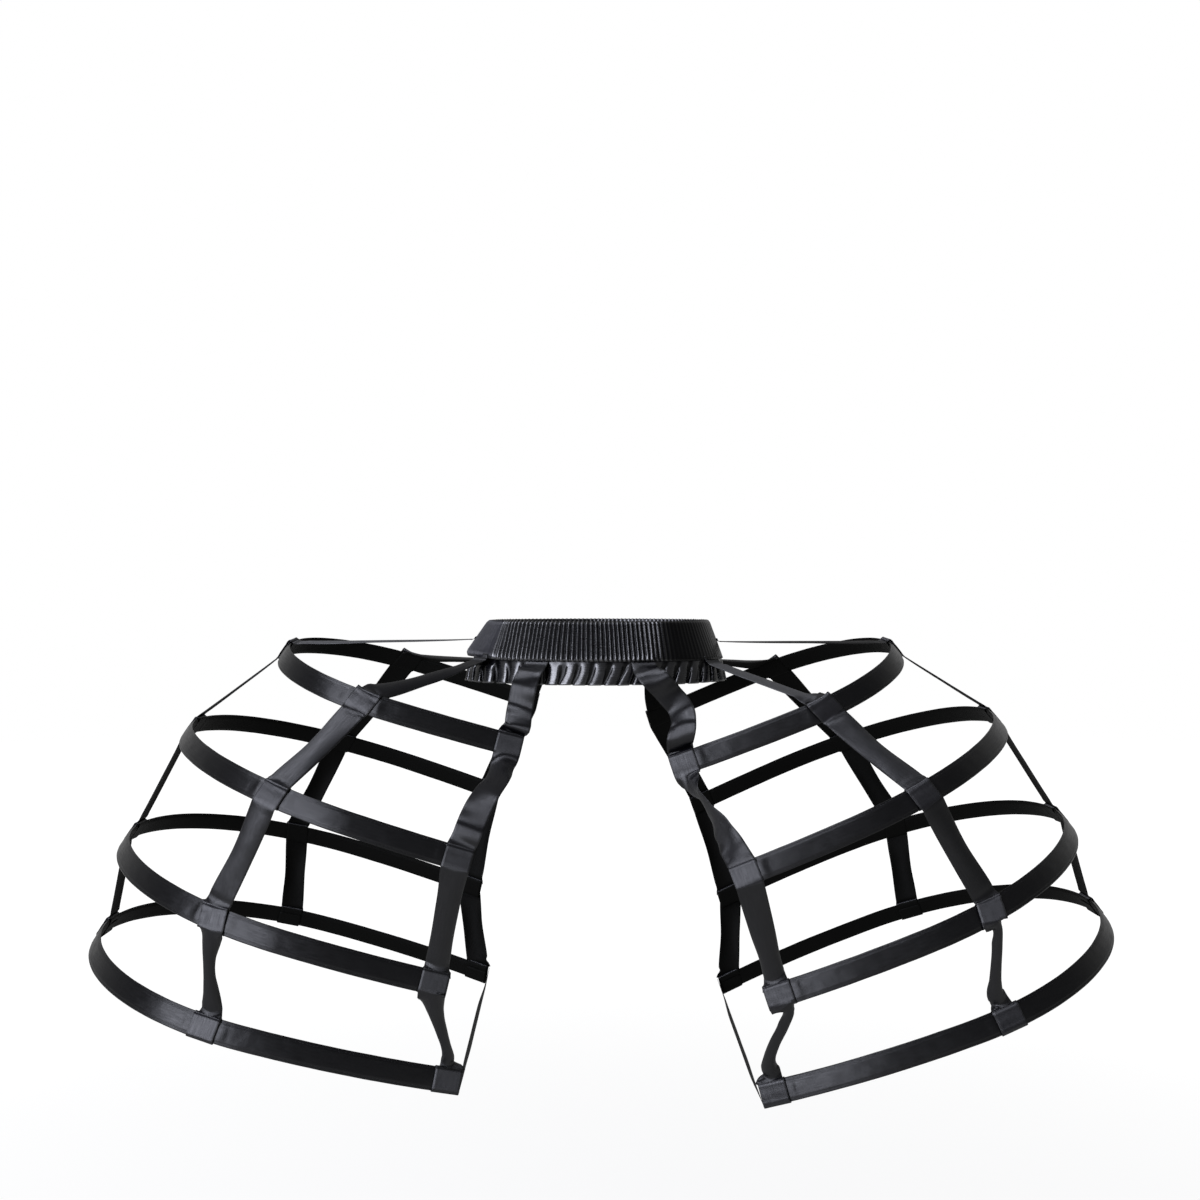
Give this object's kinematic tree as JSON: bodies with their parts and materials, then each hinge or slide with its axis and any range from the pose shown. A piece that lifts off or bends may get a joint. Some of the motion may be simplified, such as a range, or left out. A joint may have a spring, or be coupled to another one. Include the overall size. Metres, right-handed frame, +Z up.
{
  "type": "crinoline cage",
  "caption": "Open side-basket crinoline cage: tilted boned ribbon hoops on ribbon straps, hung from a gathered elastic waistband with a frill.",
  "frame": {"origin": "middle of the waist line, at half the height of the waistband casing", "axes": "+Z up, +X to the viewer's right across the wearer, the front faces -Y"},
  "size_m": [1.0286, 0.4178, 0.4384],
  "materials": {
    "casing_satin": "black satin ribbon, sewn as a flat tube round the bone",
    "strap_satin": "black satin ribbon, single layer",
    "wrap_satin": "black satin ribbon, folded tight round the hoop, with a brighter sheen",
    "gathered_satin": "black satin, gathered fine",
    "bone": "flat plastic boning, hidden in its casing",
    "elastic": "flat woven elastic, hidden in its casing"
  },
  "bodies": {
    "root": {"waistband_casing": "gathered_satin", "waistband_elastic": "elastic", "waist_frill": "gathered_satin", "left_hoop_1_casing": "casing_satin", "left_hoop_1_bone": "bone", "left_hoop_2_casing": "casing_satin", "left_hoop_2_bone": "bone", "left_hoop_3_casing": "casing_satin", "left_hoop_3_bone": "bone", "left_hoop_4_casing": "casing_satin", "left_hoop_4_bone": "bone", "left_front_inner_strap": "strap_satin", "left_front_inner_wraps": "wrap_satin", "left_front_quarter_strap": "strap_satin", "left_front_quarter_wraps": "wrap_satin", "left_side_strap": "strap_satin", "left_side_wraps": "wrap_satin", "left_back_quarter_strap": "strap_satin", "left_back_quarter_wraps": "wrap_satin", "left_back_inner_strap": "strap_satin", "left_back_inner_wraps": "wrap_satin", "left_inner_tie": "strap_satin", "right_hoop_1_casing": "casing_satin", "right_hoop_1_bone": "bone", "right_hoop_2_casing": "casing_satin", "right_hoop_2_bone": "bone", "right_hoop_3_casing": "casing_satin", "right_hoop_3_bone": "bone", "right_hoop_4_casing": "casing_satin", "right_hoop_4_bone": "bone", "right_front_inner_strap": "strap_satin", "right_front_inner_wraps": "wrap_satin", "right_front_quarter_strap": "strap_satin", "right_front_quarter_wraps": "wrap_satin", "right_side_strap": "strap_satin", "right_side_wraps": "wrap_satin", "right_back_quarter_strap": "strap_satin", "right_back_quarter_wraps": "wrap_satin", "right_back_inner_strap": "strap_satin", "right_back_inner_wraps": "wrap_satin", "right_inner_tie": "strap_satin"}
  },
  "joints": []
}
